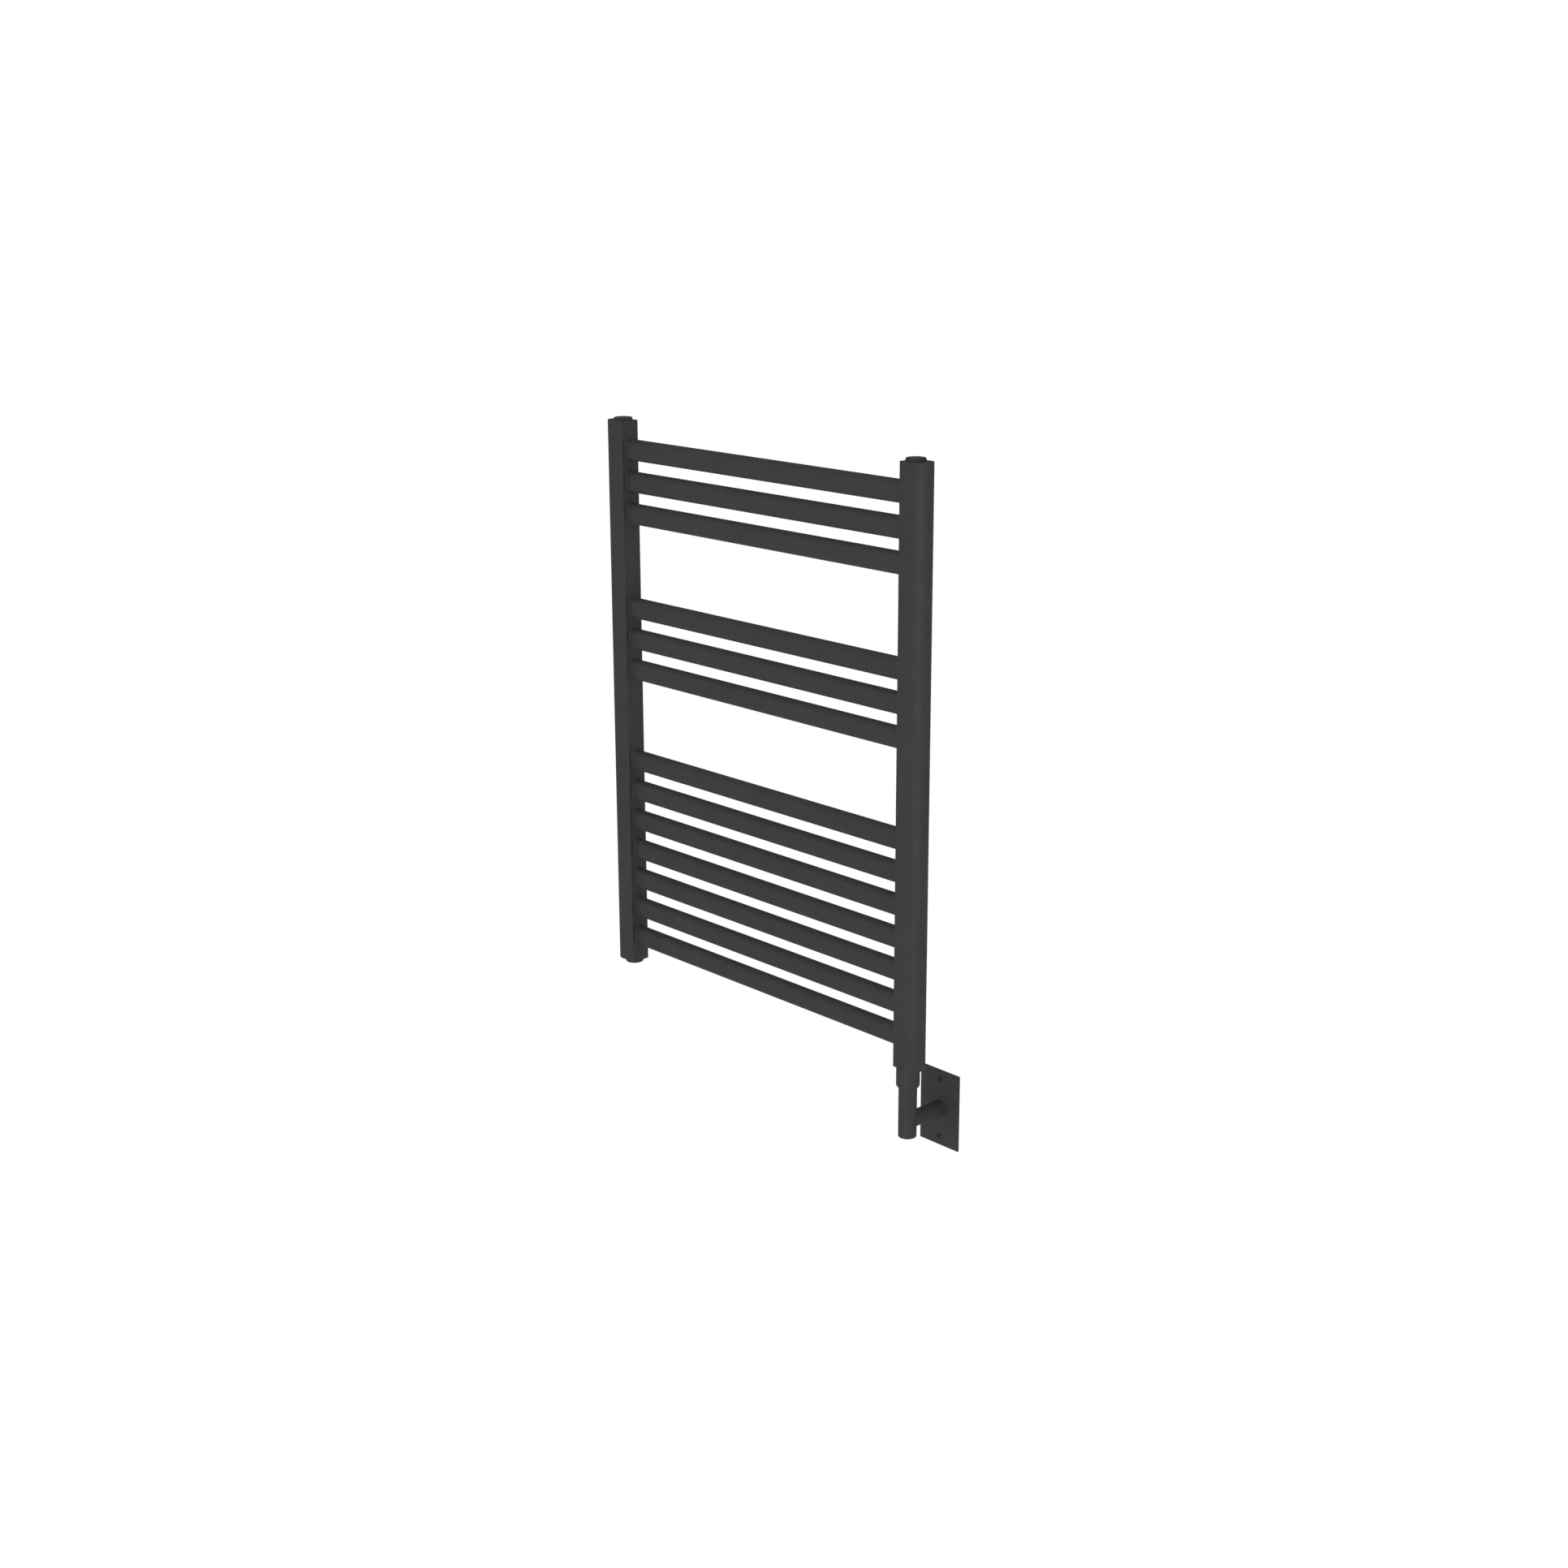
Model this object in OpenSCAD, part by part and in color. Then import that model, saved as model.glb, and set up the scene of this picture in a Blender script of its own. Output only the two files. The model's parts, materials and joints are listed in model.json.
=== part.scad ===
// Ladder towel warmer rack. Two D-section posts carry thirteen flat-oval bars in three
// groups. Low round caps cover the ports in the post ends. The right post holds the
// electric element, and under it a turning tee leads the wires back through a branch
// tube to a wall cover plate that slides along the branch.
// +X points right, +Y towards the wall, +Z up. The origin is the centre of the four
// threaded wall fixings, in the plane of the posts' back faces.

/* [Ladder] */
// Clear width between the posts
clear_w = 540; // [440:10:640]
// Height step between neighbouring bars
bar_pitch = 45; // [40:1:52]
// Post length above the top bar's axis and below the bottom bar's axis
end_margin = 40; // [34:1:60]

/* [Bars] */
// Height of the flat-oval bar section
bar_h = 30; // [24:1:34]
// Front-to-back thickness of the bar section
bar_t = 16; // [12:1:20]
// Wall thickness of a bar
bar_wall = 1.5; // [1:0.1:2]

/* [Posts] */
// Front-to-back width of a post
post_w = 30; // [30:1:36]
// Depth of a post from its flat inner side to its round outer side
post_d = 39; // [37:1:46]
// Radius of the round outer corners of a post
post_round = 13.9; // [10:0.1:14.5]
// Radius of the inner corners of a post
post_edge = 1.2; // [0.6:0.1:2]
// Wall thickness of a post
post_wall = 2; // [1.5:0.1:2.2]
// Distance of the port axis from the flat inner side
port_in = 14; // [14:0.5:18]

/* [Caps and plugs] */
// Radius of a port cap
cap_r = 13; // [12.8:0.1:14]
// Height of a port cap
cap_h = 4; // [3.3:0.1:5]
// Radius of the threaded port
port_r = 9.5; // [9.2:0.05:9.6]

/* [Element] */
// Length of the heating element inside the post
element_len = 560; // [300:10:700]
// Radius of the element's sheath
sheath_r = 5.5; // [5:0.1:5.6]

/* [Collar and tee] */
// Radius of the collar under the right post
collar_r = 15.8; // [15.6:0.1:17]
// Height of the collar
collar_h = 29.5; // [28:0.5:34]
// Radius of the tee body
tee_r = 12.4; // [12:0.1:12.4]
// Distance from the post's lower end to the bottom of the tee
tee_drop = 100; // [96:1:130]
// Distance from the post's lower end to the axis of the branch
branch_drop = 78.5; // [74:0.5:80]
// Radius of the branch tube
branch_r = 11.1; // [10.5:0.1:11.4]

/* [Cover plate] */
// Distance from the posts' back faces to the wall
wall_gap = 49.5; // [46:0.5:70]
// Width of the cover plate
plate_w = 70.5; // [68:0.5:80]
// Height of the cover plate
plate_h = 109; // [104:0.5:118]
// Height of the plate's centre above the axis of the branch
plate_rise = 1; // [0:0.5:3]
// Thickness of the cover plate
plate_t = 1.5; // [1:0.1:3]
// Distance between the two plate screws
plate_screw_gap = 83.3; // [80:0.1:90]

/* [Wall fixings] */
// Height distance between the upper and the lower wall fixings
fixing_h = 630; // [540:90:630]
// Bore radius of the threaded inserts for the wall brackets
insert_bore_r = 3.4; // [2.5:0.1:3.6]

/* [Hidden] */
$fn = 96;
// Bars in each group, from the top, and the steps from one group to the next
bar_groups = [3, 3, 7];
group_step = 3;
group_start = [
    0,
    bar_groups[0] - 1 + group_step,
    bar_groups[0] + bar_groups[1] - 2 + 2 * group_step
];
bar_steps = [for (g = [0:len(bar_groups) - 1]) for (i = [0:bar_groups[g] - 1]) group_start[g] + i];
bar_count = len(bar_steps);
bar_names = [for (i = [1:bar_count]) str("bar_", i < 10 ? "0" : "", i)];

post_len = bar_steps[bar_count - 1] * bar_pitch + 2 * end_margin;
post_y = -post_w / 2;
port_x = clear_w / 2 + port_in;
function bar_z(i) = post_len / 2 - end_margin - bar_steps[i] * bar_pitch;

// Overrun of a cutting shape past the face it cuts
cut = 1;
// Brazing gap round a bar end, and fit of an end bush in its post
bar_fit = 0.05;
bush_fit = 0.05;
// Corner radius inside a post
cavity_edge = 0.5;
cavity_round = post_round - post_wall;

// End bush: plate, neck, and the seat of its O-ring
bush_plate = 6;
bush_len = 14;
bush_r = 11.8;
seat_r = 11.2;
seat_deep = 1.7;
ring_r = 0.8;
ring_mid_r = 10.3;

// Port plug and cap
plug_r = 9.4;
plug_len = 12;
flange_r = 11.6;
flange_t = 1.6;
socket_across = 12;
socket_deep = 6;
hex_corner = 2 / sqrt(3);
cap_edge = 1.2;
cap_skin = 1.7;
cap_fit = 0.1;

// Bleed screw in the upper left plug
bleed_r = 2.4;
bleed_bore_r = 2.5;
bleed_head_r = 3.8;
bleed_head_t = 1.8;
bleed_len = 8;
slot_w = 1;

// Collar: web under the post, cavity round the element head, running bore
web_t = 1.5;
web_bore_r = 9.6;
collar_cavity_r = 13.9;
collar_cavity_end = 16;
collar_bore_r = 12.7;
collar_edge = 4.8;
seal_groove_r = 13.8;
seal_groove_top = 22.6;
seal_groove_t = 1.6;
lock_drop = 19.5;
lock_r = 2;

// Element: washer, head, core and coil
washer_t = 1;
head_flange_t = 2;
head_flange_r = 11.5;
hex_across = 22;
hex_t = 5;
potting_r = 8;
potting_deep = 5;
sheath_wall = 0.8;
sheath_fit = 0.05;
core_r = sheath_r - sheath_wall - sheath_fit;
core_short = 8;
coil_r = 3.3;
coil_wall = 0.6;
coil_fit = 0.1;
coil_cold = 40;
cutout_r = 2;
cutout_len = 4.5;
cutout_x = 5.2;

// Tee: snap ring, tube wall and end cap
tee_top_drop = 12;
tee_wall = 1.6;
snap_drop = 14.7;
snap_t = 1;
snap_in_r = 11.8;
snap_out_r = 13.6;
snap_fit = 0.1;
end_cap_t = 1.5;
end_cap_edge = 1;
spigot_len = 6;
spigot_fit = 0.05;
branch_wall = 1.5;

// Leads through tee and branch
lead_r = 1.2;
lead_ring_r = 3.2;
lead_bend_r = 8;
lead_top_drop = 9.8;
lead_turns = [90, 210, 330];
ferrule_r = 0.9;
ferrule_len = 8;

// Cover plate, gasket, grommet and screws
plate_corner = 1.5;
gasket_t = 1;
gasket_inset = 1;
grommet_r = 12.4;
grommet_fit = 0.05;
grommet_gap = 0.25;
screw_hole_r = 2;
screw_neck_r = 1.55;
screw_r = 1.75;
screw_len = 16;
screw_head_r = 3.8;
screw_head_h = 2.4;

// Threaded inserts
insert_r = 5.4;
insert_len = 8.5;
insert_end_t = 1;
insert_fit = 0.05;
bulge_r = 7.2;
bulge_t = 2.2;

stack_t = gasket_t + plate_t;
branch_z = -post_len / 2 - branch_drop;

charcoal = [0.25, 0.25, 0.25];
steel = [0.62, 0.63, 0.65];
brass = [0.72, 0.58, 0.32];
rubber = [0.08, 0.08, 0.08];
blackened = [0.12, 0.12, 0.13];
ceramic = [0.85, 0.83, 0.78];
copper = [0.72, 0.42, 0.26];

// Lays a flat shape in the Y-Z plane and lets its extrusion run along +X
module along_x() {
    rotate([90, 0, 90]) children();
}

// Turns a shape made round Z so that its +Z points at the wall
module to_wall() {
    rotate([-90, 0, 0]) children();
}

// Round disc from z = 0 to high, with its upper rim rounded
module puck(radius, high, rim) {
    rotate_extrude() {
        square([radius - rim, high]);
        square([radius, high - rim]);
        translate([radius - rim, high - rim])
            intersection() {
                circle(rim);
                square(rim);
            }
    }
}

module ring(outer_r, inner_r, high) {
    difference() {
        cylinder(r = outer_r, h = high);
        translate([0, 0, -cut]) cylinder(r = inner_r, h = high + 2 * cut);
    }
}

// Flat-oval section, upright
module oval(thick, high) {
    square([thick, high - thick], center = true);
    for (side = [-1, 1])
        translate([0, side * (high - thick) / 2]) circle(d = thick);
}

// D-section with its flat side on x = 0 and its round side towards +X
module d_section(wide, deep, outer_round, inner_round) {
    translate([inner_round, -wide / 2])
        square([deep - inner_round - outer_round, wide]);
    translate([0, inner_round - wide / 2])
        square([deep - outer_round, wide - 2 * inner_round]);
    translate([deep - 2 * outer_round, outer_round - wide / 2])
        square([2 * outer_round, wide - 2 * outer_round]);
    for (side = [-1, 1]) {
        translate([inner_round, side * (wide / 2 - inner_round)]) circle(inner_round);
        translate([deep - outer_round, side * (wide / 2 - outer_round)]) circle(outer_round);
    }
}

// The hollow inside a post, made smaller all round by gap
module cavity_section(gap) {
    translate([post_wall + gap, 0])
        d_section(
            post_w - 2 * (post_wall + gap),
            post_d - 2 * (post_wall + gap),
            cavity_round - gap,
            cavity_edge
        );
}

// Frame of one post: x = 0 on its flat inner side, y = 0 at its middle
module at_post(side) {
    mirror([side < 0 ? 1 : 0, 0, 0])
        translate([clear_w / 2, post_y, 0])
            children();
}

// Frame of one post end: +Z points out of the post, z = 0 in its end plane
module at_end(side, up) {
    at_post(side)
        mirror([0, 0, up < 0 ? 1 : 0])
            translate([0, 0, post_len / 2])
                children();
}

// Frame of one port: as at_end, centred on the port axis
module at_port(side, up) {
    at_end(side, up)
        translate([port_in, 0, 0])
            children();
}

// Frame of the branch: z = 0 on the tee's axis, +Z towards the wall
module at_branch() {
    translate([port_x, post_y, branch_z]) to_wall() children();
}

// Frame of the wall: z = 0 in the wall plane on the branch axis, +Z into the wall
module at_wall() {
    translate([port_x, wall_gap, branch_z]) to_wall() children();
}

module post() {
    difference() {
        translate([0, 0, -post_len / 2])
            linear_extrude(post_len)
                d_section(post_w, post_d, post_round, post_edge);
        translate([0, 0, -post_len / 2 - cut])
            linear_extrude(post_len + 2 * cut)
                cavity_section(0);
        for (i = [0:bar_count - 1])
            translate([-cut, 0, bar_z(i)])
                along_x()
                    linear_extrude(post_wall + 2 * cut)
                        oval(bar_t + 2 * bar_fit, bar_h + 2 * bar_fit);
        for (up = [-1, 1])
            translate([port_in, post_w / 2 - post_wall - cut, up * fixing_h / 2])
                to_wall()
                    cylinder(r = insert_r + insert_fit, h = post_wall + 2 * cut);
    }
}

module left_post() {
    color(charcoal) at_post(-1) post();
}

module right_post() {
    color(charcoal) at_post(1) post();
}

module bar(i) {
    color(charcoal)
        translate([-clear_w / 2 - post_wall, post_y, bar_z(i)])
            along_x()
                linear_extrude(clear_w + 2 * post_wall)
                    difference() {
                        oval(bar_t, bar_h);
                        oval(bar_t - 2 * bar_wall, bar_h - 2 * bar_wall);
                    }
}

module end_bush() {
    difference() {
        union() {
            translate([0, 0, -bush_plate])
                linear_extrude(bush_plate)
                    cavity_section(bush_fit);
            translate([port_in, 0, -bush_len])
                cylinder(r = bush_r, h = bush_len - bush_plate / 2);
        }
        translate([port_in, 0, -bush_len - cut])
            cylinder(r = port_r, h = bush_len + 2 * cut);
        translate([port_in, 0, -seat_deep])
            cylinder(r = seat_r, h = seat_deep + cut);
    }
}

module left_top_bush() {
    color(steel) at_end(-1, 1) end_bush();
}

module left_bottom_bush() {
    color(steel) at_end(-1, -1) end_bush();
}

module right_top_bush() {
    color(steel) at_end(1, 1) end_bush();
}

module right_bottom_bush() {
    color(steel) at_end(1, -1) end_bush();
}

module port_plug() {
    difference() {
        union() {
            translate([0, 0, -plug_len]) cylinder(r = plug_r, h = plug_len);
            cylinder(r = flange_r, h = flange_t);
        }
        translate([0, 0, flange_t - socket_deep])
            cylinder(d = socket_across * hex_corner, h = socket_deep + cut, $fn = 6);
    }
}

module left_top_plug() {
    color(brass)
        at_port(-1, 1)
            difference() {
                port_plug();
                translate([0, 0, -plug_len - cut])
                    cylinder(r = bleed_bore_r, h = plug_len + cut);
            }
}

module left_bottom_plug() {
    color(brass) at_port(-1, -1) port_plug();
}

module right_top_plug() {
    color(brass) at_port(1, 1) port_plug();
}

module bleed_screw() {
    color(steel)
        at_port(-1, 1)
            translate([0, 0, flange_t - socket_deep])
                difference() {
                    union() {
                        cylinder(r = bleed_head_r, h = bleed_head_t);
                        translate([0, 0, -bleed_len + bleed_r])
                            cylinder(r = bleed_r, h = bleed_len - bleed_r);
                        translate([0, 0, -bleed_len])
                            cylinder(r1 = 0, r2 = bleed_r, h = bleed_r);
                    }
                    translate([-bleed_head_r - cut, -slot_w / 2, bleed_head_t / 2])
                        cube([2 * (bleed_head_r + cut), slot_w, bleed_head_t]);
                }
}

module port_ring() {
    translate([0, 0, -seat_deep / 2])
        rotate_extrude()
            translate([ring_mid_r, 0])
                circle(ring_r);
}

module left_top_ring() {
    color(rubber) at_port(-1, 1) port_ring();
}

module left_bottom_ring() {
    color(rubber) at_port(-1, -1) port_ring();
}

module right_top_ring() {
    color(rubber) at_port(1, 1) port_ring();
}

module element_ring() {
    color(rubber) at_port(1, -1) port_ring();
}

module port_cap() {
    difference() {
        puck(cap_r, cap_h, cap_edge);
        translate([0, 0, -cut])
            cylinder(r = flange_r + cap_fit, h = cap_h - cap_skin + cut);
    }
}

module left_top_cap() {
    color(charcoal) at_port(-1, 1) port_cap();
}

module left_bottom_cap() {
    color(charcoal) at_port(-1, -1) port_cap();
}

module right_top_cap() {
    color(charcoal) at_port(1, 1) port_cap();
}

module element_head() {
    head_low = web_t + washer_t;
    hex_low = head_low + head_flange_t;
    hex_end = hex_low + hex_t;
    color(brass)
        at_port(1, -1)
            difference() {
                union() {
                    translate([0, 0, -plug_len]) cylinder(r = plug_r, h = plug_len + head_low);
                    translate([0, 0, head_low]) cylinder(r = head_flange_r, h = head_flange_t);
                    translate([0, 0, hex_low])
                        cylinder(d = hex_across * hex_corner, h = hex_t, $fn = 6);
                }
                translate([0, 0, -plug_len - cut])
                    cylinder(r = sheath_r + sheath_fit, h = plug_len + cut);
                translate([0, 0, hex_end - potting_deep])
                    cylinder(r = potting_r, h = potting_deep + cut);
            }
}

module element_washer() {
    color(rubber)
        at_port(1, -1)
            translate([0, 0, web_t])
                ring(head_flange_r, web_bore_r, washer_t);
}

module element_sheath() {
    color(steel)
        at_port(1, -1)
            mirror([0, 0, 1])
                difference() {
                    puck(sheath_r, element_len, sheath_r / 2);
                    translate([0, 0, -cut])
                        cylinder(r = sheath_r - sheath_wall, h = element_len - 2 * sheath_wall + cut);
                }
}

module element_core() {
    color(ceramic)
        at_port(1, -1)
            mirror([0, 0, 1])
                difference() {
                    cylinder(r = core_r, h = element_len - core_short);
                    translate([0, 0, -cut])
                        ring(
                            coil_r + coil_fit,
                            coil_r - coil_wall - coil_fit,
                            element_len - coil_cold + cut
                        );
                }
}

// Close-wound resistance coil, made as the thin tube that its turns fill
module heating_coil() {
    color(copper)
        at_port(1, -1)
            mirror([0, 0, 1])
                ring(coil_r, coil_r - coil_wall, element_len - coil_cold - coil_fit);
}

module thermal_cutout() {
    color(ceramic)
        at_port(1, -1)
            translate([cutout_x, 0, web_t + washer_t + head_flange_t + hex_t - potting_deep])
                cylinder(r = cutout_r, h = cutout_len);
}

module collar() {
    color(charcoal)
        at_port(1, -1)
            difference() {
                puck(collar_r, collar_h, collar_edge);
                translate([0, 0, -cut]) cylinder(r = web_bore_r, h = web_t + 2 * cut);
                translate([0, 0, web_t])
                    cylinder(r = collar_cavity_r, h = collar_cavity_end - web_t);
                translate([0, 0, web_t + cut])
                    cylinder(r = collar_bore_r, h = collar_h - web_t);
                translate([0, 0, seal_groove_top])
                    cylinder(r = seal_groove_r, h = seal_groove_t);
                translate([0, 0, lock_drop])
                    to_wall()
                        cylinder(r = lock_r, h = collar_r + cut);
            }
}

// Sits in the collar's groove, just clear of the turning tee
module swivel_seal() {
    color(rubber)
        at_port(1, -1)
            translate([0, 0, seal_groove_top])
                ring(seal_groove_r, collar_bore_r - bar_fit, seal_groove_t);
}

module lock_screw() {
    color(steel)
        at_port(1, -1)
            translate([0, collar_bore_r, lock_drop])
                to_wall()
                    difference() {
                        cylinder(r = lock_r, h = collar_r - collar_bore_r - bar_fit);
                        translate([0, 0, lock_r / 2])
                            cylinder(r = lock_r / 2, h = collar_r, $fn = 6);
                    }
}

module tee_body() {
    tube_len = tee_drop - end_cap_t - tee_top_drop;
    color(charcoal)
        difference() {
            at_port(1, -1)
                difference() {
                    translate([0, 0, tee_top_drop]) ring(tee_r, tee_r - tee_wall, tube_len);
                    translate([0, 0, snap_drop - snap_fit])
                        ring(tee_r + cut, snap_in_r - snap_fit, snap_t + 2 * snap_fit);
                }
            at_branch() cylinder(r = branch_r - branch_wall, h = tee_r + cut);
        }
}

module tee_end_cap() {
    color(charcoal)
        at_port(1, -1)
            translate([0, 0, tee_drop - end_cap_t]) {
                puck(tee_r, end_cap_t, end_cap_edge);
                translate([0, 0, -spigot_len])
                    ring(tee_r - tee_wall - spigot_fit, tee_r - 2 * tee_wall, spigot_len);
            }
}

module branch_tube() {
    color(charcoal)
        difference() {
            at_branch() ring(branch_r, branch_r - branch_wall, wall_gap - post_y);
            translate([port_x, post_y, branch_z - 2 * branch_r])
                cylinder(r = tee_r, h = 4 * branch_r);
        }
}

module snap_ring() {
    color(steel)
        at_port(1, -1)
            translate([0, 0, snap_drop])
                ring(snap_out_r, snap_in_r, snap_t);
}

// One insulated lead: down the tee, a quarter bend, then back through the branch
module lead(turn) {
    side_x = lead_ring_r * cos(turn);
    side_y = lead_ring_r * sin(turn);
    fall = branch_drop - lead_bend_r - lead_top_drop;
    run = wall_gap - post_y - lead_bend_r;
    translate([side_x, side_y, lead_bend_r]) cylinder(r = lead_r, h = fall);
    translate([side_x, lead_bend_r, lead_bend_r])
        along_x()
            rotate([0, 0, 180])
                rotate_extrude(angle = 90)
                    translate([lead_bend_r - side_y, 0])
                        circle(lead_r);
    translate([side_x, lead_bend_r, side_y]) to_wall() cylinder(r = lead_r, h = run);
}

module leads() {
    color(copper)
        translate([port_x, post_y, branch_z])
            for (turn = lead_turns) lead(turn);
}

module lead_ferrules() {
    color(steel)
        for (turn = lead_turns)
            translate([port_x + lead_ring_r * cos(turn), wall_gap, branch_z + lead_ring_r * sin(turn)])
                to_wall()
                    cylinder(r = ferrule_r, h = ferrule_len);
}

// Rectangle with small round corners, centred
module plate_outline(wide, high, corner) {
    square([wide - 2 * corner, high], center = true);
    square([wide, high - 2 * corner], center = true);
    for (x = [-1, 1])
        for (y = [-1, 1])
            translate([x * (wide / 2 - corner), y * (high / 2 - corner)]) circle(corner);
}

// Sheet of the wall plate, in the frame of the wall, where -Y points up
module wall_sheet(inset, thick) {
    difference() {
        linear_extrude(thick)
            translate([0, -plate_rise])
                plate_outline(plate_w - 2 * inset, plate_h - 2 * inset, plate_corner);
        translate([0, 0, -cut]) cylinder(r = grommet_r, h = thick + 2 * cut);
        for (up = [-1, 1])
            translate([0, up * plate_screw_gap / 2, -cut])
                cylinder(r = screw_hole_r, h = thick + 2 * cut);
    }
}

module cover_plate() {
    color(charcoal) at_wall() translate([0, 0, -stack_t]) wall_sheet(0, plate_t);
}

module plate_gasket() {
    color(rubber) at_wall() translate([0, 0, -gasket_t]) wall_sheet(gasket_inset, gasket_t);
}

module plate_grommet() {
    color(rubber)
        at_wall()
            translate([0, 0, -stack_t])
                ring(grommet_r - grommet_fit, branch_r + grommet_gap, stack_t);
}

// Captive screw: domed slotted head on the plate, thin neck, thread past the gasket
module plate_screw() {
    dome_r = (screw_head_r * screw_head_r + screw_head_h * screw_head_h) / (2 * screw_head_h);
    translate([0, 0, -stack_t])
        difference() {
            intersection() {
                translate([0, 0, dome_r - screw_head_h]) sphere(dome_r);
                translate([0, 0, -screw_head_h]) cylinder(r = screw_head_r + cut, h = screw_head_h);
            }
            translate([-screw_head_r, -slot_w / 2, -screw_head_h - cut])
                cube([2 * screw_head_r, slot_w, screw_head_h / 2 + cut]);
        }
    translate([0, 0, -stack_t]) cylinder(r = screw_neck_r, h = stack_t);
    cylinder(r = screw_r, h = screw_len);
}

module plate_screws() {
    color(blackened)
        at_wall()
            for (up = [-1, 1])
                translate([0, up * plate_screw_gap / 2, 0]) plate_screw();
}

// Threaded insert with a closed end, which keeps the post tight: its mouth is flush with the
// post's back, and its upset bulge grips the post wall from inside
module wall_insert() {
    mirror([0, 0, 1])
        difference() {
            union() {
                cylinder(r = insert_r, h = insert_len);
                translate([0, 0, post_wall]) cylinder(r = bulge_r, h = bulge_t);
            }
            translate([0, 0, -cut]) cylinder(r = insert_bore_r, h = insert_len - insert_end_t + cut);
        }
}

module wall_inserts() {
    color(steel)
        for (side = [-1, 1])
            for (up = [-1, 1])
                translate([side * port_x, 0, up * fixing_h / 2]) to_wall() wall_insert();
}

left_post();
right_post();
for (i = [0:bar_count - 1])
    bar(i);
left_top_bush();
left_bottom_bush();
right_top_bush();
right_bottom_bush();
left_top_plug();
left_bottom_plug();
right_top_plug();
bleed_screw();
left_top_ring();
left_bottom_ring();
right_top_ring();
element_ring();
left_top_cap();
left_bottom_cap();
right_top_cap();
element_head();
element_washer();
element_sheath();
element_core();
heating_coil();
thermal_cutout();
collar();
swivel_seal();
lock_screw();
tee_body();
tee_end_cap();
branch_tube();
snap_ring();
leads();
lead_ferrules();
cover_plate();
plate_gasket();
plate_grommet();
plate_screws();
wall_inserts();
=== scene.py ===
# Towel warmer rack: materials, rounded visible skins, weld seams, light and camera,
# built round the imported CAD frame. Lengths are in metres, in the frame of the CAD model:
# +X right, +Y towards the wall, +Z up.
import json
import math

import bpy
from mathutils import Matrix, Vector


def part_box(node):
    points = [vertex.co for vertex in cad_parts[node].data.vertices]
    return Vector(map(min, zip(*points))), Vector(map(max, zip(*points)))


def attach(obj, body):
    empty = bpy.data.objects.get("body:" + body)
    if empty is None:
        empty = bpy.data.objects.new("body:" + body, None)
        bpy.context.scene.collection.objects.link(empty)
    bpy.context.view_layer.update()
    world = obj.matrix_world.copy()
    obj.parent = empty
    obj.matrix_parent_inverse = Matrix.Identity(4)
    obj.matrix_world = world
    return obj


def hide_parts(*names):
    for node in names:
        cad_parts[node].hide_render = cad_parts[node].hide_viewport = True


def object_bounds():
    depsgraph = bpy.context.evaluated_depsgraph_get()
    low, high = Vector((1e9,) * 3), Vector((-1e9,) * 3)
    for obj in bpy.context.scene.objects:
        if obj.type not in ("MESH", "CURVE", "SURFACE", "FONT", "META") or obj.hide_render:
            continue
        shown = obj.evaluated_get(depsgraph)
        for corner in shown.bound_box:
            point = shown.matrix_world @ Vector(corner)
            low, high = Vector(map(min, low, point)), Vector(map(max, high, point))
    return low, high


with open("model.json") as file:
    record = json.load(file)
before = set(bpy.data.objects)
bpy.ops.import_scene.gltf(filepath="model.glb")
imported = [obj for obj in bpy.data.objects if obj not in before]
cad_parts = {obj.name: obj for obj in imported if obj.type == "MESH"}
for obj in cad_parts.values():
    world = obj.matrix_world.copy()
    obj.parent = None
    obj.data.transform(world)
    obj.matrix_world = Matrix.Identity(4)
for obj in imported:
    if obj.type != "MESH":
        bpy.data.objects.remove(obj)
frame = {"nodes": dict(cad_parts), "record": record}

CAD_LOW, CAD_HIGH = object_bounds()
NODES = frame["nodes"]
SLOT_OF = {part["node"]: part["material_slot"] for part in frame["record"]["subparts"]}
BODY_OF = {
    node: body
    for body, members in frame["record"]["behaviour"]["bodies"].items()
    for node in members
}
MM = 0.001

# Wall thickness and corner radii of the CAD sections, repeated for the rounded skins
POST_WALL = 2 * MM
POST_ROUND = 13.9 * MM
POST_EDGE = 1.2 * MM
POST_INNER_EDGE = 0.5 * MM
BAR_WALL = 1.5 * MM
PLATE_CORNER = 1.5 * MM

# Softening of the edges that the CAD model leaves sharp
POST_END_EDGE = 0.5 * MM
PLATE_EDGE = 0.4 * MM
GROMMET_EDGE = 0.3 * MM

# Inner lip of the plate's grommet: gap to the branch tube, edge, length, relief behind it
LIP_GAP = 0.03 * MM
LIP_EDGE = 0.12 * MM
LIP_LONG = 1.0 * MM
LIP_RELIEF = 0.4 * MM

# Weld seam round a bar: radius, depth of its root below the surfaces, height and number
# of its ripples
SEAM_R = 1.5 * MM
SEAM_ROOT = 0.3 * MM
SEAM_RIPPLE = 0.06 * MM
SEAM_RIPPLES = 11

# Fillet between branch tube and tee: radius, and how its root is sunk into tube and tee
SADDLE_R = 1.0 * MM
SADDLE_SUNK_SCALE = 0.97
SADDLE_SUNK_DEPTH = 0.4 * MM

# Straight parts that each arc is divided into, and parts along a bar
EDGE_STEPS = 4
FILLET_STEPS = 6
SMALL_ARC_STEPS = 8
POST_ARC_STEPS = 20
BAR_ARC_STEPS = 32
CIRCLE_STEPS = 96
BAR_STATIONS = 8

# Parts that each side of the cover plate is divided into, which keeps its hole round
SIDE_STEPS = 32

# Angles between faces, above which an edge stays sharp in the shading
SHARP_DEG = 35
GROMMET_SHARP_DEG = 40
SEAM_SHARP_DEG = 50


# ---------------------------------------------------------------- mesh helpers

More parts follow.
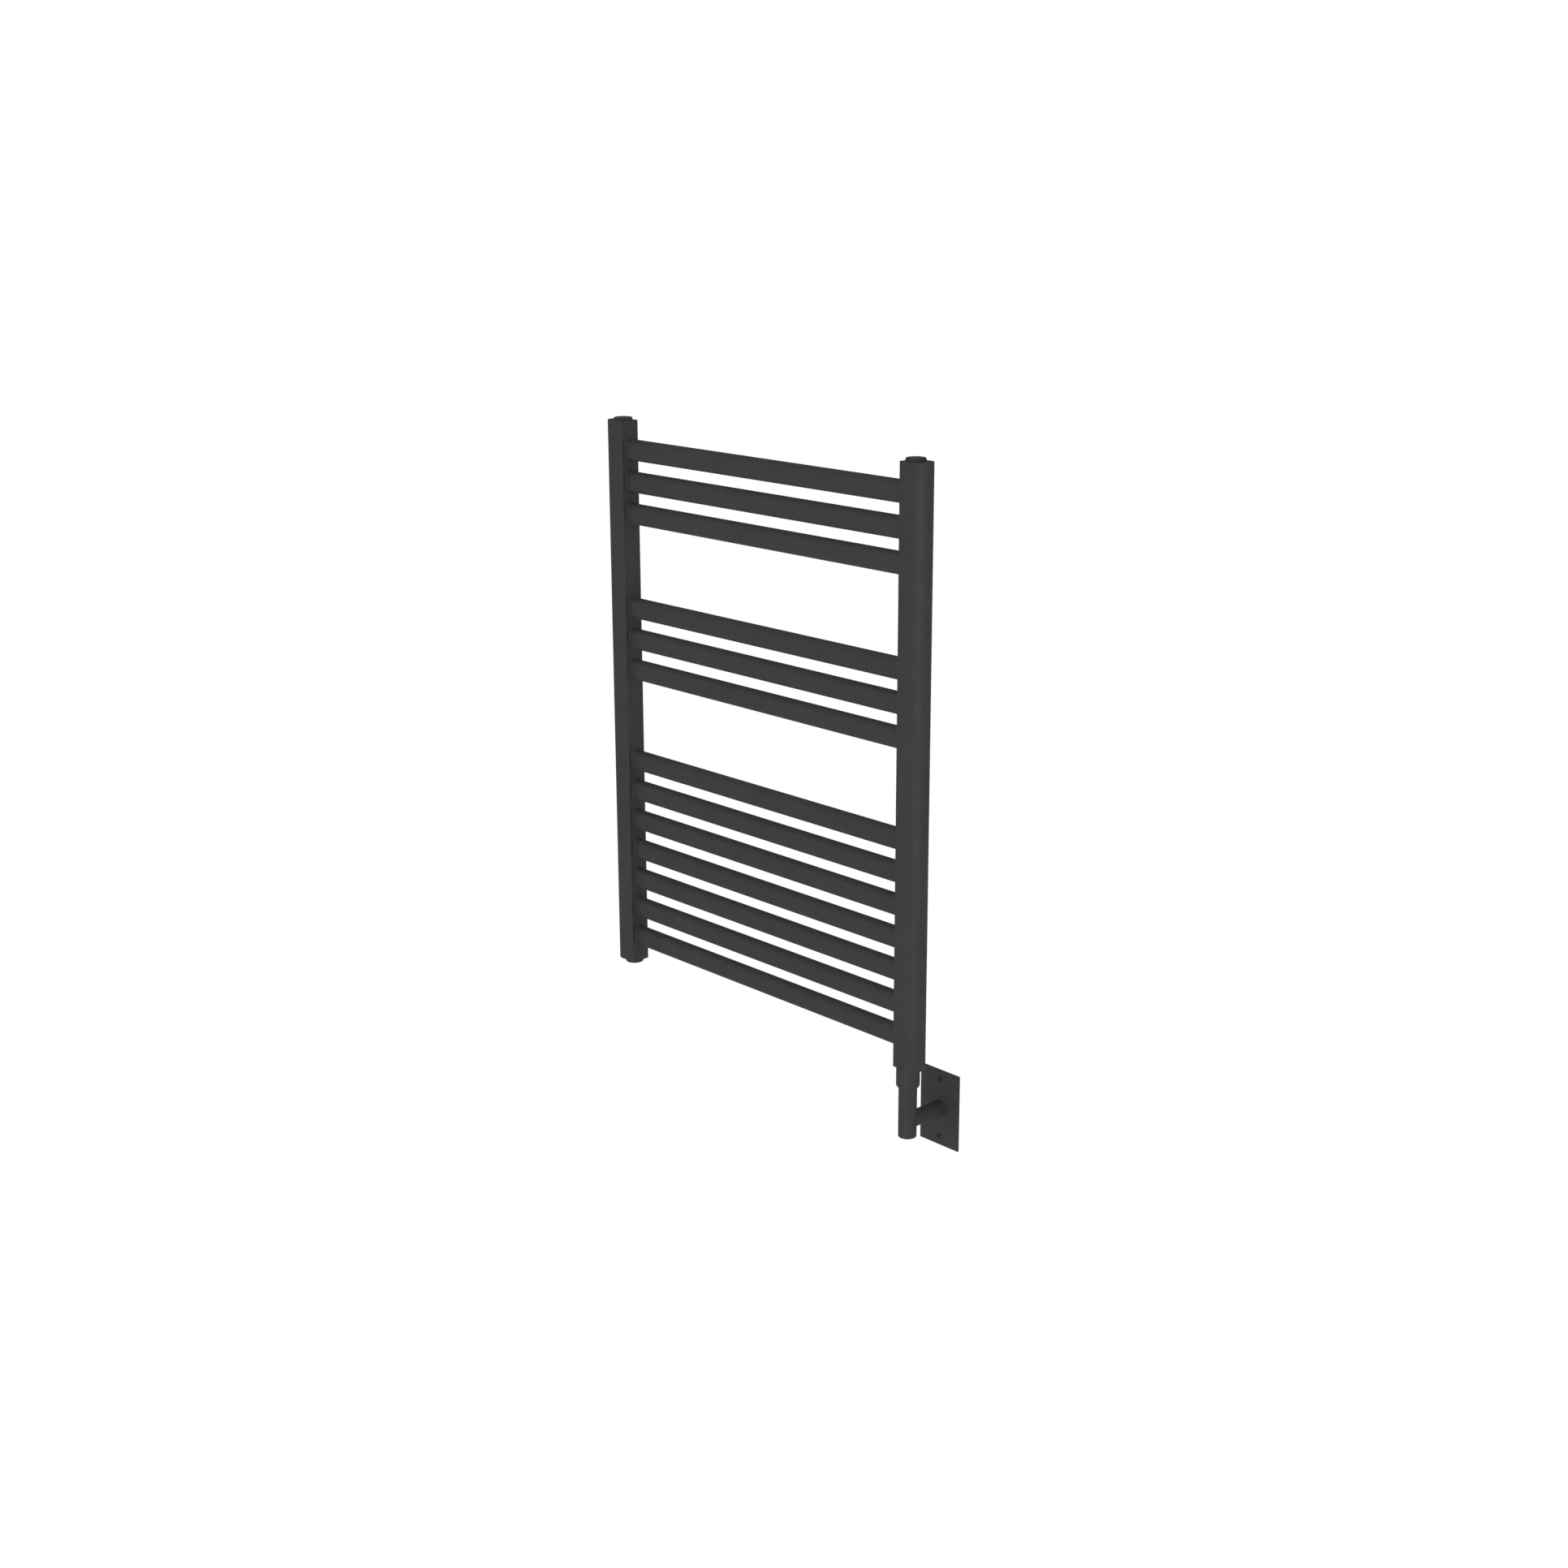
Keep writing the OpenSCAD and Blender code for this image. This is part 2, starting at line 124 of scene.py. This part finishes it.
def arc_points(centre, radius, start_deg, end_deg, steps):
    """Points along an arc, both ends included."""
    points = []
    for i in range(steps + 1):
        a = math.radians(start_deg + (end_deg - start_deg) * i / steps)
        points.append((centre[0] + radius * math.cos(a), centre[1] + radius * math.sin(a)))
    return points


def d_outline(wide, deep, outer_round, inner_round, inset=0.0):
    """D-section, flat side at x = 0 and round side towards +x, drawn anticlockwise."""
    half = wide / 2
    far_x = deep - outer_round
    near_x = inner_round
    outer = outer_round - inset
    inner = inner_round - inset
    points = arc_points((far_x, -half + outer_round), outer, -90, 0, POST_ARC_STEPS)
    points += arc_points((far_x, half - outer_round), outer, 0, 90, POST_ARC_STEPS)
    points += arc_points((near_x, half - inner_round), inner, 90, 180, SMALL_ARC_STEPS)
    points += arc_points((near_x, -half + inner_round), inner, 180, 270, SMALL_ARC_STEPS)
    return points


def oval_outline(thick, high, grow=0.0):
    """Upright flat-oval section, drawn anticlockwise."""
    lift = (high - thick) / 2
    radius = thick / 2 + grow
    return (
        arc_points((0, lift), radius, 0, 180, BAR_ARC_STEPS)
        + arc_points((0, -lift), radius, 180, 360, BAR_ARC_STEPS)
    )


def rounded_rectangle(wide, high, corner, inset=0.0):
    """Rectangle with round corners and divided sides, centred, drawn anticlockwise."""
    x = wide / 2 - corner
    y = high / 2 - corner
    radius = corner - inset
    arcs = []
    for cx, cy, start in ((x, -y, -90), (x, y, 0), (-x, y, 90), (-x, -y, 180)):
        arcs.append(arc_points((cx, cy), radius, start, start + 90, SMALL_ARC_STEPS))
    points = []
    for arc, following in zip(arcs, arcs[1:] + arcs[:1]):
        points += arc
        (x0, y0), (x1, y1) = arc[-1], following[0]
        for i in range(1, SIDE_STEPS):
            along = i / SIDE_STEPS
            points.append((x0 + (x1 - x0) * along, y0 + (y1 - y0) * along))
    return points


def loft(name, rings, flip=False):
    """Closed surface through rings of equally many points, the last ring joined to the first."""
    count = len(rings[0])
    vertices = [point for ring in rings for point in ring]
    faces = []
    for r in range(len(rings)):
        a = r * count
        b = ((r + 1) % len(rings)) * count
        for i in range(count):
            j = (i + 1) % count
            faces.append((a + i, a + j, b + j, b + i))
    if flip:
        faces = [tuple(reversed(face)) for face in faces]
    mesh = bpy.data.meshes.new(name)
    mesh.from_pydata(vertices, [], faces)
    mesh.validate()
    mesh.update()
    made = bpy.data.objects.new(name, mesh)
    bpy.context.scene.collection.objects.link(made)
    return made


def smooth(piece, angle_deg=SHARP_DEG):
    """Smooth shading that keeps edges sharper than the angle."""
    limit = math.radians(angle_deg)
    mesh = piece.data
    for face in mesh.polygons:
        face.use_smooth = True
    edge_normals = {}
    for face in mesh.polygons:
        for key in face.edge_keys:
            edge_normals.setdefault(key, []).append(face.normal)
    for edge in mesh.edges:
        normals = edge_normals.get(edge.key, [])
        edge.use_edge_sharp = len(normals) == 2 and normals[0].angle(normals[1], 0.0) > limit
    return piece


def edge_profile(radius):
    """(inset, height) steps of a quarter round from a side face onto an end face."""
    steps = []
    for i in range(EDGE_STEPS + 1):
        a = math.pi / 2 * i / EDGE_STEPS
        steps.append((radius * (1 - math.cos(a)), radius * math.sin(a)))
    return steps


def finish_piece(piece, body, slot_name, replaced=()):
    """Body, slot and material of a new piece, and the CAD nodes that it stands for."""
    piece.data.materials.append(MATERIALS[slot_name])
    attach(piece, body)
    if replaced:
        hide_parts(*replaced)


# ------------------------------------------------------------------- materials

# Middle part of a noise pattern, which a mapping spreads over its whole range
NOISE_LOW = 0.3
NOISE_HIGH = 0.7

# Powder coat: pattern cells per metre, bump depths and strength, and specular level
CLOUD_SCALE = 11
GRAIN_SCALE = 1900
SPECK_SCALE = 2600
PATCH_SCALE = 160
RUB_SCALE = 38
WAVE_SCALE = 420
WAVE_DEPTH = 0.3 * MM
PEBBLE_SCALE = 1400
PEBBLE_DEPTH = 0.22 * MM
PEEL_STRENGTH = 0.9
COAT_SPECULAR = 0.32

# Worn edges: radius, samples, and the agreement of rounded and true normal at full and no wear
WEAR_R = 0.7 * MM
WEAR_SAMPLES = 4
WEAR_FULL = 0.72
WEAR_NONE = 0.985

# Bare metal: cells per metre of the fine lines along the piece's own X, Y and Z, which makes
# them run across Z, then their bump and the cells per metre of the tarnish
LINE_SCALE = (60, 60, 1400)
COIL_LINE_SCALE = (400, 400, 2500)
LINE_DEPTH = 0.01 * MM
LINE_STRENGTH = 0.4
TARNISH_SCALE = 90

# Rubber, ceramic, moulded pieces and plating: cells per metre, and bump of the grain
UNEVEN_SCALE = 60
GRAIN_DEPTH = 0.02 * MM
GRAIN_STRENGTH = 0.5
PLATING_DEPTH = 0.006 * MM


def node_of(tree, kind, **inputs):
    made = tree.nodes.new(kind)
    for name, value in inputs.items():
        made.inputs[name].default_value = value
    return made


def noise(tree, coordinates, scale, detail=2.0, roughness=0.5):
    made = node_of(tree, "ShaderNodeTexNoise", Scale=scale, Detail=detail, Roughness=roughness)
    tree.links.new(coordinates, made.inputs["Vector"])
    return made.outputs["Fac"]


def remap(tree, value, low, high, from_low=NOISE_LOW, from_high=NOISE_HIGH):
    """Maps a value's range onto low to high, and holds it there outside the range."""
    made = tree.nodes.new("ShaderNodeMapRange")
    made.inputs["From Min"].default_value = from_low
    made.inputs["From Max"].default_value = from_high
    made.inputs["To Min"].default_value = low
    made.inputs["To Max"].default_value = high
    tree.links.new(value, made.inputs["Value"])
    return made.outputs["Result"]


def scaled_colour(tree, colour, factor):
    """A colour multiplied by a varying factor."""
    made = tree.nodes.new("ShaderNodeVectorMath")
    made.operation = "SCALE"
    made.inputs[0].default_value = colour
    tree.links.new(factor, made.inputs["Scale"])
    return made.outputs["Vector"]


def bump(tree, height, distance, strength, normal=None):
    made = node_of(tree, "ShaderNodeBump", Strength=strength, Distance=distance)
    tree.links.new(height, made.inputs["Height"])
    if normal is not None:
        tree.links.new(normal, made.inputs["Normal"])
    return made.outputs["Normal"]


def multiply(tree, a, b):
    made = tree.nodes.new("ShaderNodeMath")
    made.operation = "MULTIPLY"
    tree.links.new(a, made.inputs[0])
    tree.links.new(b, made.inputs[1])
    return made.outputs["Value"]


def new_material(name):
    """Material, its node tree, its shader, and coordinates that stay with the piece."""
    made = bpy.data.materials.new(name)
    made.use_nodes = True
    tree = made.node_tree
    shader = tree.nodes["Principled BSDF"]
    place = tree.nodes.new("ShaderNodeTexCoord").outputs["Object"]
    return made, tree, shader, place


def worn_edges(tree):
    """1 on convex edges and 0 on plain faces."""
    rounded = node_of(tree, "ShaderNodeBevel", Radius=WEAR_R)
    rounded.samples = WEAR_SAMPLES
    facing = tree.nodes.new("ShaderNodeVectorMath")
    facing.operation = "DOT_PRODUCT"
    tree.links.new(rounded.outputs["Normal"], facing.inputs[0])
    tree.links.new(tree.nodes.new("ShaderNodeNewGeometry").outputs["Normal"], facing.inputs[1])
    return remap(tree, facing.outputs["Value"], 1.0, 0.0, WEAR_FULL, WEAR_NONE)


def powder_coat(name, colour, roughness, peel=1.0):
    """Matt powder coat: orange peel, pebbles, specks, faint clouds, rubbed patches and edges."""
    made, tree, shader, place = new_material(name)
    cloud = remap(tree, noise(tree, place, CLOUD_SCALE, detail=3), low=0.94, high=1.06)
    grains = noise(tree, place, GRAIN_SCALE, detail=3, roughness=0.65)
    grain = remap(tree, grains, low=0.7, high=1.3)
    spots = noise(tree, place, SPECK_SCALE, detail=1)
    specks = remap(tree, spots, low=1.0, high=2.2, from_low=0.66, from_high=0.76)
    patchy = remap(tree, noise(tree, place, PATCH_SCALE, detail=3), low=0.25, high=1.0)
    edges = multiply(tree, worn_edges(tree), patchy)
    shade = multiply(tree, multiply(tree, cloud, grain), specks)
    shade = multiply(tree, shade, remap(tree, edges, 1.0, 1.35, from_low=0, from_high=1))
    tree.links.new(scaled_colour(tree, colour, shade), shader.inputs["Base Color"])
    rubs = noise(tree, place, RUB_SCALE, detail=4, roughness=0.6)
    rubbed = remap(tree, rubs, low=roughness + 0.06, high=roughness - 0.1)
    polished = multiply(tree, rubbed, remap(tree, edges, 1.0, 0.78, from_low=0, from_high=1))
    tree.links.new(polished, shader.inputs["Roughness"])
    shader.inputs["Specular IOR Level"].default_value = COAT_SPECULAR
    strength = PEEL_STRENGTH * peel
    waves = bump(tree, noise(tree, place, WAVE_SCALE), WAVE_DEPTH, strength)
    pebbles = noise(tree, place, PEBBLE_SCALE, detail=3, roughness=0.6)
    tree.links.new(bump(tree, pebbles, PEBBLE_DEPTH, strength, waves), shader.inputs["Normal"])
    return made


def metal(name, colour, roughness, line_scale=LINE_SCALE):
    """Bare metal with fine machining lines and slight tarnish."""
    made, tree, shader, place = new_material(name)
    stretch = tree.nodes.new("ShaderNodeVectorMath")
    stretch.operation = "MULTIPLY"
    stretch.inputs[1].default_value = line_scale
    tree.links.new(place, stretch.inputs[0])
    lines = noise(tree, stretch.outputs["Vector"], scale=1.0, detail=3)
    tarnish = remap(tree, noise(tree, place, TARNISH_SCALE, detail=3), low=0.82, high=1.08)
    tree.links.new(scaled_colour(tree, colour, tarnish), shader.inputs["Base Color"])
    scratched = remap(tree, lines, low=roughness - 0.08, high=roughness + 0.1)
    tree.links.new(scratched, shader.inputs["Roughness"])
    shader.inputs["Metallic"].default_value = 1.0
    tree.links.new(bump(tree, lines, LINE_DEPTH, LINE_STRENGTH), shader.inputs["Normal"])
    return made


def dull(name, colour, roughness, grain_scale, depth=GRAIN_DEPTH, specular=0.5):
    """Rubber, ceramic, moulded insulation or plating: grainy, matt, slightly uneven."""
    made, tree, shader, place = new_material(name)
    shader.inputs["Specular IOR Level"].default_value = specular
    uneven = remap(tree, noise(tree, place, UNEVEN_SCALE, detail=3), low=0.88, high=1.1)
    tree.links.new(scaled_colour(tree, colour, uneven), shader.inputs["Base Color"])
    grain = noise(tree, place, grain_scale, detail=3)
    grainy = remap(tree, grain, low=roughness - 0.06, high=roughness + 0.06)
    tree.links.new(grainy, shader.inputs["Roughness"])
    tree.links.new(bump(tree, grain, depth, GRAIN_STRENGTH), shader.inputs["Normal"])
    return made


CHARCOAL = (0.028, 0.028, 0.028)
# Caps: the frame's charcoal, made darker as painted shade on the caps
CAP_CHARCOAL_AND_SHADE = (0.021, 0.021, 0.021)
# Screws: zinc plating, made darker than the plate as painted shade round the screw heads
DARK_ZINC_AND_SHADE = (0.013, 0.013, 0.014)
STEEL = (0.55, 0.56, 0.58)
BRASS = (0.62, 0.45, 0.20)
RUBBER = (0.026, 0.026, 0.026)
CERAMIC = (0.74, 0.71, 0.64)
COIL_METAL = (0.32, 0.28, 0.25)
LEAD_RED = (0.42, 0.03, 0.02)
TINNED = (0.62, 0.58, 0.54)
MATERIALS = {
    "frame_paint": powder_coat("charcoal_powder_coat", CHARCOAL, 0.72),
    # Cap material: charcoal, with painted shade darkening the caps
    "cap_paint": powder_coat("charcoal_cap_with_painted_shade", CAP_CHARCOAL_AND_SHADE, 0.68, peel=0.6),
    # Screw material: zinc plating, with painted shade darkening the screw heads
    "black_screw": dull(
        "dark_zinc_with_painted_shade", DARK_ZINC_AND_SHADE, 0.6, grain_scale=900, depth=PLATING_DEPTH, specular=0.27
    ),
    "bare_steel": metal("zinc_plated_steel", STEEL, 0.38),
    "brass": metal("turned_brass", BRASS, 0.3),
    "seal_rubber": dull("seal_rubber", RUBBER, 0.75, grain_scale=1500),
    "ceramic": dull("fired_ceramic", CERAMIC, 0.6, grain_scale=1200),
    "coil_wire": metal("oxidised_resistance_wire", COIL_METAL, 0.5, COIL_LINE_SCALE),
    "lead_jacket": dull("silicone_lead_jacket", LEAD_RED, 0.5, grain_scale=900),
    "tinned_copper": metal("tinned_copper", TINNED, 0.35),
}

for node_name, node_object in NODES.items():
    node_object.data.materials.clear()
    node_object.data.materials.append(MATERIALS[SLOT_OF[node_name]])


# ----------------------------------------------------------------- rack skins

def post_skin(node):
    """Hollow D-section tube with softened end edges, round side away from the bars."""
    low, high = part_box(node)
    side = 1 if low.x > 0 else -1
    flat_x = low.x if side > 0 else high.x
    deep = high.x - low.x
    wide = high.y - low.y
    mid_y = (low.y + high.y) / 2

    def placed(outline, z):
        return [(flat_x + side * x, mid_y + y, z) for x, y in outline]

    def outer(inset, z):
        return placed(d_outline(wide, deep, POST_ROUND, POST_EDGE, inset), z)

    def inner(z):
        hole = d_outline(
            wide - 2 * POST_WALL, deep - 2 * POST_WALL, POST_ROUND - POST_WALL, POST_INNER_EDGE
        )
        return placed([(x + POST_WALL, y) for x, y in hole], z)

    rings = []
    for inset, rise in reversed(edge_profile(POST_END_EDGE)):
        rings.append(outer(inset, low.z + POST_END_EDGE - rise))
    for inset, rise in edge_profile(POST_END_EDGE):
        rings.append(outer(inset, high.z - POST_END_EDGE + rise))
    rings.append(inner(high.z))
    rings.append(inner(low.z))
    skin = smooth(loft(node + "_skin", rings, flip=side < 0))
    finish_piece(skin, BODY_OF[node], "frame_paint", [node])


def bar_skin(node):
    """Hollow flat-oval tube between the posts."""
    low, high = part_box(node)
    thick = high.y - low.y
    tall = high.z - low.z
    mid_y = (low.y + high.y) / 2
    mid_z = (low.z + high.z) / 2

    def ring(grow, x):
        return [(x, mid_y + y, mid_z + z) for y, z in oval_outline(thick, tall, grow)]

    long = high.x - low.x
    stations = [low.x + long * i / BAR_STATIONS for i in range(BAR_STATIONS + 1)]
    rings = [ring(0, x) for x in stations]
    rings += [ring(-BAR_WALL, x) for x in reversed(stations)]
    skin = smooth(loft(node + "_skin", rings))
    finish_piece(skin, BODY_OF[node], "frame_paint", [node])


def bar_seam(node, side, face_x):
    """Small concave weld seam round a bar where it enters a post's flat side."""
    low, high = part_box(node)
    thick = high.y - low.y
    tall = high.z - low.z
    mid_y = (low.y + high.y) / 2
    mid_z = (low.z + high.z) / 2

    def ring(grow, out):
        ripple = SEAM_RIPPLE * min(1.0, max(0.0, grow) / SEAM_R)
        points = []
        outline = oval_outline(thick, tall, grow)
        for i, (y, z) in enumerate(outline):
            wave = ripple * math.sin(i * math.tau * SEAM_RIPPLES / len(outline))
            points.append((face_x - side * (out + wave), mid_y + y, mid_z + z))
        return points

    rings = [ring(-SEAM_ROOT, -SEAM_ROOT), ring(SEAM_R, -SEAM_ROOT)]
    for i in range(FILLET_STEPS + 1):
        a = math.pi / 2 * i / FILLET_STEPS
        rings.append(ring(SEAM_R * (1 - math.sin(a)), SEAM_R * (1 - math.cos(a))))
    rings.append(ring(-SEAM_ROOT, SEAM_R))
    name = f"{node}_seam_{'right' if side > 0 else 'left'}"
    seam = smooth(loft(name, rings, flip=side > 0), SEAM_SHARP_DEG)
    finish_piece(seam, BODY_OF[node], "frame_paint")


def plate_skin():
    """Cover plate with softened edges and a round hole for the grommet."""
    node = "cover_plate"
    low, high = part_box(node)
    grommet_low, grommet_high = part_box("plate_grommet")
    hole_r = (grommet_high.x - grommet_low.x) / 2
    centre = (low + high) / 2
    hole_centre = (grommet_low + grommet_high) / 2
    wide = high.x - low.x
    tall = high.z - low.z

    def edge(inset, y):
        outline = rounded_rectangle(wide, tall, PLATE_CORNER, inset)
        return [(centre.x + x, y, centre.z + z) for x, z in outline]

    def hole(y):
        points = []
        for x, z in rounded_rectangle(wide, tall, PLATE_CORNER):
            a = math.atan2(centre.z + z - hole_centre.z, centre.x + x - hole_centre.x)
            hole_x = hole_centre.x + hole_r * math.cos(a)
            hole_z = hole_centre.z + hole_r * math.sin(a)
            points.append((hole_x, y, hole_z))
        return points

    rings = []
    for inset, rise in edge_profile(PLATE_EDGE):
        rings.append(edge(inset, high.y - PLATE_EDGE + rise))
    rings.append(hole(high.y))
    rings.append(hole(low.y))
    for inset, rise in reversed(edge_profile(PLATE_EDGE)):
        rings.append(edge(inset, low.y + PLATE_EDGE - rise))
    skin = smooth(loft(node + "_skin", rings, flip=True))
    finish_piece(skin, BODY_OF[node], "frame_paint", [node])


def grommet_skin():
    """Rubber grommet whose front lip just clears the branch tube."""
    node = "plate_grommet"
    low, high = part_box(node)
    branch_low, branch_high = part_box("branch_tube")
    centre = (low + high) / 2
    outer_r = (high.x - low.x) / 2
    lip_r = (branch_high.x - branch_low.x) / 2 + LIP_GAP
    lip_end = low.y + LIP_LONG
    profile = [
        (outer_r, low.y + GROMMET_EDGE),
        (outer_r - GROMMET_EDGE, low.y),
        (lip_r + LIP_EDGE, low.y),
        (lip_r, low.y + LIP_EDGE),
        (lip_r, lip_end),
        (lip_r + LIP_RELIEF, lip_end + LIP_RELIEF),
        (lip_r + LIP_RELIEF, high.y),
        (outer_r - GROMMET_EDGE, high.y),
        (outer_r, high.y - GROMMET_EDGE),
    ]
    rings = []
    for radius, y in profile:
        circle = arc_points((centre.x, centre.z), radius, 0, 360, CIRCLE_STEPS)[:-1]
        rings.append([(x, y, z) for x, z in circle])
    skin = smooth(loft(node + "_skin", rings), GROMMET_SHARP_DEG)
    finish_piece(skin, BODY_OF[node], "seal_rubber", [node])


def saddle_seam():
    """Rolling-ball fillet where the branch tube meets the tee body."""
    tee_low, tee_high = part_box("tee_body")
    branch_low, branch_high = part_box("branch_tube")
    tee_r = (tee_high.x - tee_low.x) / 2
    branch_r = (branch_high.x - branch_low.x) / 2
    axis_x = (tee_low.x + tee_high.x) / 2
    axis_y = (tee_low.y + tee_high.y) / 2
    axis_z = (branch_low.z + branch_high.z) / 2
    to_ball = tee_r + SADDLE_R
    lines = []
    for i in range(CIRCLE_STEPS):
        a = math.tau * i / CIRCLE_STEPS
        x = (branch_r + SADDLE_R) * math.cos(a)
        z = (branch_r + SADDLE_R) * math.sin(a)
        y = math.sqrt(to_ball ** 2 - x * x)
        centre = Vector((x, y, z))
        on_branch = Vector((branch_r * math.cos(a), y, branch_r * math.sin(a)))
        on_tee = Vector((x * tee_r / to_ball, y * tee_r / to_ball, z))
        start = (on_branch - centre).normalized()
        end = (on_tee - centre).normalized()
        line = []
        for k in range(FILLET_STEPS + 1):
            line.append(centre + start.slerp(end, k / FILLET_STEPS) * SADDLE_R)
        line.append(Vector((
            on_branch.x * SADDLE_SUNK_SCALE,
            on_tee.y - SADDLE_SUNK_DEPTH,
            on_branch.z * SADDLE_SUNK_SCALE,
        )))
        lines.append([(axis_x + p.x, axis_y + p.y, axis_z + p.z) for p in line])
    rings = [[line[k] for line in lines] for k in range(FILLET_STEPS + 2)]
    seam = smooth(loft("branch_saddle_seam", rings), SEAM_SHARP_DEG)
    finish_piece(seam, "tee", "frame_paint")


LEFT_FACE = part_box("left_post")[1].x
RIGHT_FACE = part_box("right_post")[0].x

post_skin("left_post")
post_skin("right_post")
for bar_node in sorted(name for name in NODES if name.startswith("bar_")):
    bar_skin(bar_node)
    bar_seam(bar_node, -1, LEFT_FACE)
    bar_seam(bar_node, 1, RIGHT_FACE)
plate_skin()
grommet_skin()
saddle_seam()


# ------------------------------------------------------------ floor and light

WHITE = (1, 1, 1, 1)

# Floor: surface, drop below the rack's lowest point, side length, and glow as a light
FLOOR_COLOUR = (0.9, 0.9, 0.9, 1)
FLOOR_ROUGHNESS = 0.9
FLOOR_SPECULAR = 0.1
FLOOR_DROP = 0.62
FLOOR_SIZE = 60.0
FLOOR_GLOW = 0.12

# Direction that most of the light comes from: the camera's side, a little from below
KEY_DIRECTION = (0.70, -0.66, -0.15)
SKY_FRONT = 0.75
SKY_BACK = 0.44

SOFTBOX_PLACE = Vector((3.6, -5.0, 1.0))
SOFTBOX_SIZE = 2.8
SOFTBOX_POWER = 160


def camera_ray(tree):
    """1 where the camera looks straight at a surface, and 0 where light only bounces off it."""
    return tree.nodes.new("ShaderNodeLightPath").outputs["Is Camera Ray"]


def floor():
    """Pale floor, seen plain white by the camera, with a dim glow as light for the object."""
    mesh = bpy.data.meshes.new("studio_floor")
    z = CAD_LOW.z - FLOOR_DROP
    half = FLOOR_SIZE / 2
    corners = [(-half, -half, z), (half, -half, z), (half, half, z), (-half, half, z)]
    mesh.from_pydata(corners, [], [(0, 1, 2, 3)])
    made = bpy.data.objects.new("studio_floor", mesh)
    bpy.context.scene.collection.objects.link(made)
    material, tree, shader, _ = new_material("pale_floor")
    shader.inputs["Base Color"].default_value = FLOOR_COLOUR
    shader.inputs["Roughness"].default_value = FLOOR_ROUGHNESS
    shader.inputs["Specular IOR Level"].default_value = FLOOR_SPECULAR
    shader.inputs["Emission Color"].default_value = WHITE
    shader.inputs["Emission Strength"].default_value = FLOOR_GLOW
    plain = node_of(tree, "ShaderNodeEmission", Strength=1.0)
    seen = tree.nodes.new("ShaderNodeMixShader")
    tree.links.new(camera_ray(tree), seen.inputs["Fac"])
    tree.links.new(shader.outputs["BSDF"], seen.inputs[1])
    tree.links.new(plain.outputs["Emission"], seen.inputs[2])
    tree.links.new(seen.outputs["Shader"], tree.nodes["Material Output"].inputs["Surface"])
    made.data.materials.append(material)


def sky():
    """White surround, seen plain by the camera; as light it is strongest from the front side."""
    world = bpy.data.worlds.new("studio")
    bpy.context.scene.world = world
    world.use_nodes = True
    tree = world.node_tree
    background = tree.nodes["Background"]
    background.inputs["Color"].default_value = WHITE
    towards_light = tree.nodes.new("ShaderNodeVectorMath")
    towards_light.operation = "DOT_PRODUCT"
    towards_light.inputs[1].default_value = KEY_DIRECTION
    direction = tree.nodes.new("ShaderNodeTexCoord").outputs["Generated"]
    tree.links.new(direction, towards_light.inputs[0])
    glow = remap(
        tree, towards_light.outputs["Value"], SKY_BACK, SKY_FRONT, from_low=-1, from_high=1
    )
    seen = tree.nodes.new("ShaderNodeMix")
    seen.data_type = "FLOAT"
    tree.links.new(camera_ray(tree), seen.inputs["Factor"])
    tree.links.new(glow, seen.inputs["A"])
    seen.inputs["B"].default_value = 1.0
    tree.links.new(seen.outputs["Result"], background.inputs["Strength"])


def softbox():
    """Large disk light on the camera's side, without shadows, which also shows the grain."""
    data = bpy.data.lights.new("softbox", "AREA")
    data.shape = "DISK"
    data.size = SOFTBOX_SIZE
    data.energy = SOFTBOX_POWER
    data.use_shadow = False
    made = bpy.data.objects.new("softbox", data)
    made.location = SOFTBOX_PLACE
    made.rotation_mode = "QUATERNION"
    made.rotation_quaternion = (-SOFTBOX_PLACE).to_track_quat("-Z", "Y")
    made.visible_camera = False
    bpy.context.scene.collection.objects.link(made)


# --------------------------------------------------------------------- camera

CAMERA_PLACE = Vector((2.2442, -2.0588, 0.7966))
CAMERA_HEADING = math.radians(47.103)
CAMERA_PITCH = math.radians(15.957)
CAMERA_ROLL = math.radians(-0.157)
CAMERA_LENS = 52.945
CAMERA_SENSOR = 36
CAMERA_CLIP_END = 100


def camera():
    """Camera looking along its heading, below the level by its pitch."""
    forward = Vector((
        -math.sin(CAMERA_HEADING) * math.cos(CAMERA_PITCH),
        math.cos(CAMERA_HEADING) * math.cos(CAMERA_PITCH),
        -math.sin(CAMERA_PITCH),
    ))
    level = Vector((math.cos(CAMERA_HEADING), math.sin(CAMERA_HEADING), 0))
    down = forward.cross(level)
    right = level * math.cos(CAMERA_ROLL) - down * math.sin(CAMERA_ROLL)
    up = -(level * math.sin(CAMERA_ROLL) + down * math.cos(CAMERA_ROLL))
    data = bpy.data.cameras.new("camera")
    data.sensor_width = CAMERA_SENSOR
    data.lens = CAMERA_LENS
    data.clip_end = CAMERA_CLIP_END
    made = bpy.data.objects.new("camera", data)
    rotation = Matrix((right, up, -forward)).transposed()
    made.matrix_world = Matrix.Translation(CAMERA_PLACE) @ rotation.to_4x4()
    bpy.context.scene.collection.objects.link(made)
    bpy.context.scene.camera = made


floor()
sky()
softbox()
camera()
bpy.context.scene.view_settings.view_transform = "Standard"
